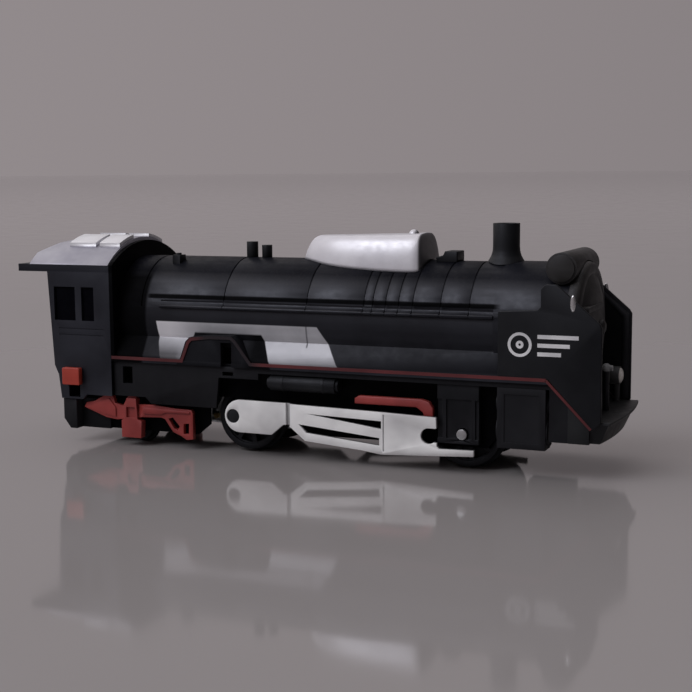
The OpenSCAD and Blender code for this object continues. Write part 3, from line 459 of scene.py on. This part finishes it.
def worn_front():
    """Smokebox front and its heater: dull brownish black, paler where dust lies on top."""
    return moulded("smokebox front plastic", (0.017, 0.0155, 0.014), 0.5, 0.3, gloss=0.4)


def lamp_material():
    """Grey lamp housings on dark stems."""
    return moulded("lamp plastic", (0.05, 0.052, 0.052), 0.5, 0.15, gloss=0.4)


def stand_material():
    """Dark hose stand with a light grey end."""
    s = moulded("hose plastic", (0.008, 0.008, 0.009), 0.5, 0.1, gloss=0.3)
    s.colour(s.mix(s.ramp(s.z, 28.3, 28.7), s.current("Base Color"), (0.34, 0.35, 0.36)))
    return s


def lens_material():
    """Milky white lamp lens."""
    s = Shader("lens", (0.9, 0.88, 0.84), 0.2)
    haze = s.ramp(s.noise(0.8), 0.35, 0.65)
    s.colour(s.mix(haze, (0.80, 0.78, 0.73), (0.95, 0.93, 0.9)))
    s.roughness(s.ramp(s.noise(1.6, 4.0), 0.3, 0.7, 0.14, 0.3))
    s.bump(s.noise(2.0), 0.01)
    return s


def make_materials():
    """One material for each slot of the record; a few nodes then get their own."""
    fitting = moulded("fitting plastic", (0.005, 0.0055, 0.0065), 0.5, 0.08, gloss=0.3)
    red = moulded("red plastic", (0.30, 0.04, 0.034), 0.46, 0.08)
    knob = moulded("knob plastic", (0.47, 0.052, 0.028), 0.4, 0.05)
    steel = simple_metal("steel", (0.62, 0.63, 0.65), 0.34)
    plate = simple_metal("blackened steel", (0.06, 0.06, 0.065), 0.42)
    brass = simple_metal("brass", (0.78, 0.58, 0.26), 0.32)
    blued = simple_metal("spring steel", (0.2, 0.22, 0.27), 0.3)
    rubber = moulded("rubber", (0.006, 0.006, 0.006), 0.75, 0.08, gloss=0.2)
    wheel = moulded("wheel plastic", (0.005, 0.005, 0.006), 0.55, 0.05, gloss=0.25)
    nickel = simple_metal("nickel", (0.72, 0.72, 0.74), 0.2)
    slots = {
        "chassis_plastic": chassis_material(), "boiler_plastic": boiler_material(),
        "cab_plastic": cab_material(), "silver_paint": silver_material(), "fitting_plastic": fitting,
        "deflector_plastic": fitting, "lens": lens_material(), "grey_metal": plate, "red_plastic": red,
        "steel": steel, "spring_steel": blued, "brass": brass, "wheel_plastic": wheel,
        "tyre_rubber": rubber, "rod_plastic": rod_material(), "knob_plastic": knob, "key_metal": nickel,
    }
    for entry in frame["record"]["subparts"]:
        use(slots[entry["material_slot"]], entry["node"])
    use(worn_front(), "smokebox_front", "feedwater_heater")
    use(lamp_material(), "headlamps")
    use(moulded("beam plastic", (0.011, 0.0115, 0.0115), 0.5, 0.1, gloss=0.35), "front_beam")
    use(stand_material(), "hose_stand")
    return slots


# Width of the softened edges, in mm, and the nodes that have them.
SOFT_EDGES = {
    0.08: ("boiler_shell",),
    0.1: ("motor_plate_right", "motor_plate_left", "brake_lever"),
    0.12: ("front_wheels", "drive_wheel_right", "drive_wheel_left", "trailing_wheels"),
    0.15: ("smokebox_front", "headlamps", "body_screws"),
    0.2: (
        "chassis", "cab_roof", "chimney", "drawbar", "trailing_frame_right", "trailing_frame_left",
        "connecting_rod_right", "connecting_rod_left", "front_axle",
    ),
    0.25: (
        "cab", "deflector_right", "deflector_left", "safety_valves", "whistle", "guide_block_right",
        "guide_block_left", "valve_bracket_right", "valve_bracket_left",
    ),
    0.3: (
        "cylinder_right", "cylinder_left", "front_beam", "winding_key", "crank_pins", "air_tank_right",
        "air_tank_left",
    ),
    0.35: ("turret_box", "brake_slide"),
    0.5: ("feedwater_heater",),
}


def soften_edges():
    for width, names in SOFT_EDGES.items():
        for name in names:
            soften(name, width)


# ---------------------------------------------------------------- pieces made here

def new_piece(name, vertices, faces, shader, body, smooth=False):
    """A mesh given in millimetres that rides on a body."""
    mesh = bpy.data.meshes.new(name)
    mesh.from_pydata([tuple(c * MM for c in v) for v in vertices], [], faces)
    mesh.validate()
    work = bmesh.new()
    work.from_mesh(mesh)
    bmesh.ops.recalc_face_normals(work, faces=work.faces)
    work.to_mesh(mesh)
    work.free()
    mesh.materials.append(shader.material)
    if smooth:
        mesh.shade_smooth()
    obj = bpy.data.objects.new(name, mesh)
    bpy.context.scene.collection.objects.link(obj)
    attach(obj, body)
    return obj


def prism(outline, y0, y1):
    """Vertices and faces of an (x, z) outline extruded across the locomotive."""
    count = len(outline)
    vertices = [(x, y, z) for y in (y0, y1) for x, z in outline]
    faces = [list(range(count)), list(range(2 * count - 1, count - 1, -1))]
    faces += [[i, (i + 1) % count, count + (i + 1) % count, count + i] for i in range(count)]
    return vertices, faces


def merged(parts):
    """Join several (vertices, faces) pairs."""
    vertices, faces = [], []
    for part_vertices, part_faces in parts:
        base = len(vertices)
        vertices += part_vertices
        faces += [[base + i for i in face] for face in part_faces]
    return vertices, faces


def offset_path(path, half_width):
    """Outline of a band of even width along an open (x, z) path."""
    sides = []
    for i, point in enumerate(path):
        before = Vector(path[max(i - 1, 0)])
        after = Vector(path[min(i + 1, len(path) - 1)])
        here = Vector(point)
        first = (here - before).normalized() if i else (after - here).normalized()
        last = (after - here).normalized() if i < len(path) - 1 else first
        mitre = Vector((-(first + last).y, (first + last).x)).normalized()
        reach = half_width / max(0.5, mitre.dot(Vector((-first.y, first.x))))
        sides.append((here + reach * mitre, here - reach * mitre))
    return [tuple(a) for a, b in sides] + [tuple(b) for a, b in reversed(sides)]


def band(path, half_width, y0, y1):
    """A solid band along a path, built of one box for each stretch so that every face stays flat."""
    outline = offset_path(path, half_width)
    count = len(path)
    vertices = [(x, y, z) for y in (y0, y1) for x, z in outline]
    total = len(outline)
    faces = []
    for i in range(count - 1):
        quad = [i, i + 1, total - 2 - i, total - 1 - i]
        faces += [quad, [total + k for k in reversed(quad)]]
        faces += [[i, i + 1, total + i + 1, total + i]]
        faces += [[total - 2 - i, total - 1 - i, 2 * total - 1 - i, 2 * total - 2 - i]]
    faces += [[0, total - 1, 2 * total - 1, total], [count - 1, count, total + count, total + count - 1]]
    return vertices, faces


# The path of the red line as (x, z): its last stretch runs down the deflector and is thinner.
LINE_PATH = [
    (-61.3, 28.2), (-36.2, 28.2), (-33.8, 34.0), (-32.7, 35.1), (-26.7, 35.8), (-19.1, 35.9), (-17.8, 34.9),
    (-12.6, 28.2), (78.0, 28.2), (90.6, 15.2),
]
LINE_HALF_WIDTH = 0.48
THIN_HALF_WIDTH = 0.36


def add_red_lines():
    """The thin red line that follows the running board, the casing over it and the deflector's lower edge;
    painted shade darkens it along the casing.
    """
    paint = moulded("line paint", (0.10, 0.014, 0.014), 0.45, 0.1)
    # Painted shade: the line turns near black across the casing.
    line_shade = paint.product(paint.ramp(paint.x, -34.0, -28.0), paint.ramp(paint.x, -13.0, -8.0, 0.95, 0.0))
    paint.colour(paint.mix(line_shade, paint.current("Base Color"), (0.008, 0.006, 0.007)))
    for side, name in ((-1, "running_line_right"), (1, "running_line_left")):
        y0, y1 = sorted((side * 20.72, side * 21.07))
        parts = [band(LINE_PATH[:-1], LINE_HALF_WIDTH, y0, y1), band(LINE_PATH[-2:], THIN_HALF_WIDTH, y0, y1)]
        piece = new_piece(name, *merged(parts), paint, "body")


def ring(centre, outer, inner, y0, y1, steps=40):
    """A flat ring across the locomotive about an (x, z) centre."""
    turns = [2 * math.pi * i / steps for i in range(steps)]
    vertices = [
        (centre[0] + r * math.cos(a), y, centre[1] + r * math.sin(a))
        for y in (y0, y1) for r in (outer, inner) for a in turns
    ]
    faces = []
    for i in range(steps):
        k = (i + 1) % steps
        for a, b in ((0, 1), (2, 3), (0, 2), (1, 3)):
            faces.append([a * steps + i, a * steps + k, b * steps + k, b * steps + i])
    return vertices, faces


def box_at(x0, x1, z0, z1, y0, y1):
    return prism([(x0, z0), (x1, z0), (x1, z1), (x0, z1)], y0, y1)


RING_AT = (70.6, 37.8)  # (x, z)
BAR_STEP = 2.4  # each bar is this much lower, and shorter, than the one above it


def add_marks():
    """A plain white ring and three bars on each deflector."""
    paint = moulded("mark paint", (0.72, 0.72, 0.75), 0.45, 0.1)
    for side, name in ((-1, "deflector_mark_right"), (1, "deflector_mark_left")):
        y0, y1 = sorted((side * 20.98, side * 21.07))
        parts = [ring(RING_AT, 3.4, 2.6, y0, y1), ring(RING_AT, 1.1, 0.35, y0, y1)]
        for i in range(3):
            step = BAR_STEP * i
            parts.append(box_at(75.6, 87.0 - step, 39.6 - step, 40.7 - step, y0, y1))
        piece = new_piece(name, *merged(parts), paint, "body")


# Where the sheets of painted shade stand in the cab's windows, along x in mm.
WINDOW_SHADE_X = ((-81.5, -73.9), (-72.0, -67.2))


def add_window_shade():
    """Near-black sheets in the cab's side windows: painted shade that stands for the dark inside of the cab.
    """
    # Painted shade: a near-black, barely glossy sheet fills each window.
    shade_sheet = Shader("painted window shade", (0.001, 0.001, 0.003), 0.5, Specular_IOR_Level=0.03)
    cloud = shade_sheet.ramp(shade_sheet.noise(0.3), 0.35, 0.65)
    shade_sheet.colour(shade_sheet.mix(cloud, (0.0008, 0.0008, 0.0025), (0.002, 0.002, 0.004)))
    shade_sheet.roughness(shade_sheet.ramp(shade_sheet.noise(0.5), 0.3, 0.7, 0.4, 0.6))
    for side, name in ((-1, "window_shade_right"), (1, "window_shade_left")):
        y0, y1 = sorted((side * 20.05, side * 20.35))
        parts = [box_at(x0, x1, 39.0, 50.3, y0, y1) for x0, x1 in WINDOW_SHADE_X]
        piece = new_piece(name, *merged(parts), shade_sheet, "body")


def net(around, rows):
    """Faces between closed loops of vertices, each loop above the one before."""
    faces = []
    for j in range(rows):
        for i in range(around):
            k = (i + 1) % around
            faces.append([j * around + i, j * around + k, (j + 1) * around + k, (j + 1) * around + i])
    return faces


def ellipsoid(centre, radii, steps=24, rows=12):
    """Vertices and faces of an ellipsoid."""
    vertices = []
    for j in range(rows + 1):
        tilt = math.pi * j / rows
        for i in range(steps):
            turn = 2 * math.pi * i / steps
            unit = (math.sin(tilt) * math.cos(turn), math.sin(tilt) * math.sin(turn), math.cos(tilt))
            vertices.append(tuple(c + r * u for c, r, u in zip(centre, radii, unit)))
    return vertices, net(steps, rows)


def add_edge_glints(shader):
    """Small nickel studs on the deflectors' upper edges: a painted highlight that stands for the glint where
    each edge catches the light.
    """
    for side, name in ((-1, "deflector_glint_right"), (1, "deflector_glint_left")):
        # Painted highlight: a bright metal stud where the deflector's edge shines.
        shape = ellipsoid((85.3, side * 20.9, 49.5), (0.8, 0.4, 2.3))
        piece = new_piece(name, *shape, shader, "body", smooth=True)


BOILER_R = 18.0
BOILER_Z = 41.1
# Half of the dome cover's outline from above, as (x, half width), from its tail to its blunt front.
DOME_PLAN = [
    (-3.4, 0.0), (-3.1, 1.5), (-1.9, 2.7), (1.0, 4.6), (4.7, 6.5), (9.0, 7.8), (15.0, 8.8), (23.0, 9.6),
    (30.5, 9.9), (35.0, 9.9), (36.9, 9.5), (37.4, 8.6), (37.6, 7.0), (37.7, 3.4), (37.7, 0.0),
]
DOME_TOP_X = (4.0, 35.7)
DOME_TOP_Z = 66.3
DOME_TOP_WIDTH = 0.34
DOME_RINGS = 22


def dome_plan():
    """The outline divided finely and smoothed twice."""
    plan = []
    for (xa, wa), (xb, wb) in zip(DOME_PLAN, DOME_PLAN[1:]):
        plan += [(xa + (xb - xa) * k / 4, wa + (wb - wa) * k / 4) for k in range(4)]
    plan.append(DOME_PLAN[-1])
    for _ in range(2):
        inner = [
            ((a[0] + 2 * b[0] + c[0]) / 4, (a[1] + 2 * b[1] + c[1]) / 4)
            for a, b, c in zip(plan, plan[1:], plan[2:])
        ]
        plan = [plan[0]] + inner + [plan[-1]]
    return plan


def dome_point(plan, x, y, lift):
    """A point of the cover: lift runs from 0, on the boiler, to 1, at the top."""
    inward = 1.0 - (1.0 - lift ** 2.3) ** 0.62
    along = (x - plan[0][0]) / (plan[-1][0] - plan[0][0])
    top_x = DOME_TOP_X[0] + (DOME_TOP_X[1] - DOME_TOP_X[0]) * along
    top_y = DOME_TOP_WIDTH * y
    top_z = DOME_TOP_Z + 1.0 * along - 0.02 * top_y * top_y
    seat = BOILER_Z + math.sqrt(BOILER_R ** 2 - y * y) - 0.05
    rise = math.sin(0.5 * math.pi * lift) ** 0.9
    return (
        x + (top_x - x) * (0.55 * lift + 0.45 * inward),
        y + (top_y - y) * (0.35 * lift + 0.65 * inward),
        seat + (top_z - seat) * rise,
    )


def add_dome(shader):
    """Smooth cover over the domes, seated on the round of the boiler: tapered behind, blunt in front."""
    plan = dome_plan()
    loop = [(x, -w) for x, w in plan] + [(x, w) for x, w in reversed(plan[1:-1])]
    around = len(loop)
    vertices = [dome_point(plan, x, y, j / DOME_RINGS) for j in range(DOME_RINGS + 1) for x, y in loop]
    faces = net(around, DOME_RINGS)
    # The top is closed by strips across, from the tail to the front, and the foot by one face.
    last = DOME_RINGS * around
    half = len(plan)
    faces.append([last, last + 1, last + around - 1])
    for i in range(1, half - 2):
        faces.append([last + i, last + i + 1, last + around - i - 1, last + around - i])
    faces.append([last + half - 2, last + half - 1, last + half])
    faces.append(list(range(around - 1, -1, -1)))
    piece = new_piece("dome_cover", vertices, faces, shader, "body", smooth=True)
    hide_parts("dome_casing")
    ball = ellipsoid((32.4, -0.6, 66.6), (1.6, 1.6, 1.6))
    knob = new_piece("dome_valve_knob", *ball, shader, "body", smooth=True)


# ---------------------------------------------------------------- stage

FLOOR_REACH = 60.0  # metres from the middle to each edge


def add_stage():
    """A pale, polished floor."""
    corners = ((-1, -1), (1, -1), (1, 1), (-1, 1))
    mesh = bpy.data.meshes.new("floor")
    mesh.from_pydata([(FLOOR_REACH * x, FLOOR_REACH * y, 0.0) for x, y in corners], [], [[0, 1, 2, 3]])
    floor = bpy.data.objects.new("floor", mesh)
    bpy.context.scene.collection.objects.link(floor)
    s = Shader("floor", (0.25, 0.235, 0.235), 0.1)
    cloud = s.ramp(s.noise(0.004, 3.0), 0.3, 0.7)
    s.colour(s.mix(cloud, (0.325, 0.306, 0.306), (0.338, 0.318, 0.318)))
    s.roughness(s.ramp(s.noise(0.03, 4.0), 0.3, 0.7, 0.05, 0.11))
    mesh.materials.append(s.material)


add_camera()
add_lights()
SLOTS = make_materials()
soften_edges()
add_dome(SLOTS["silver_paint"])
add_red_lines()
add_marks()
add_window_shade()
add_edge_glints(SLOTS["key_metal"])
add_stage()
bpy.context.scene.view_settings.view_transform = "Standard"
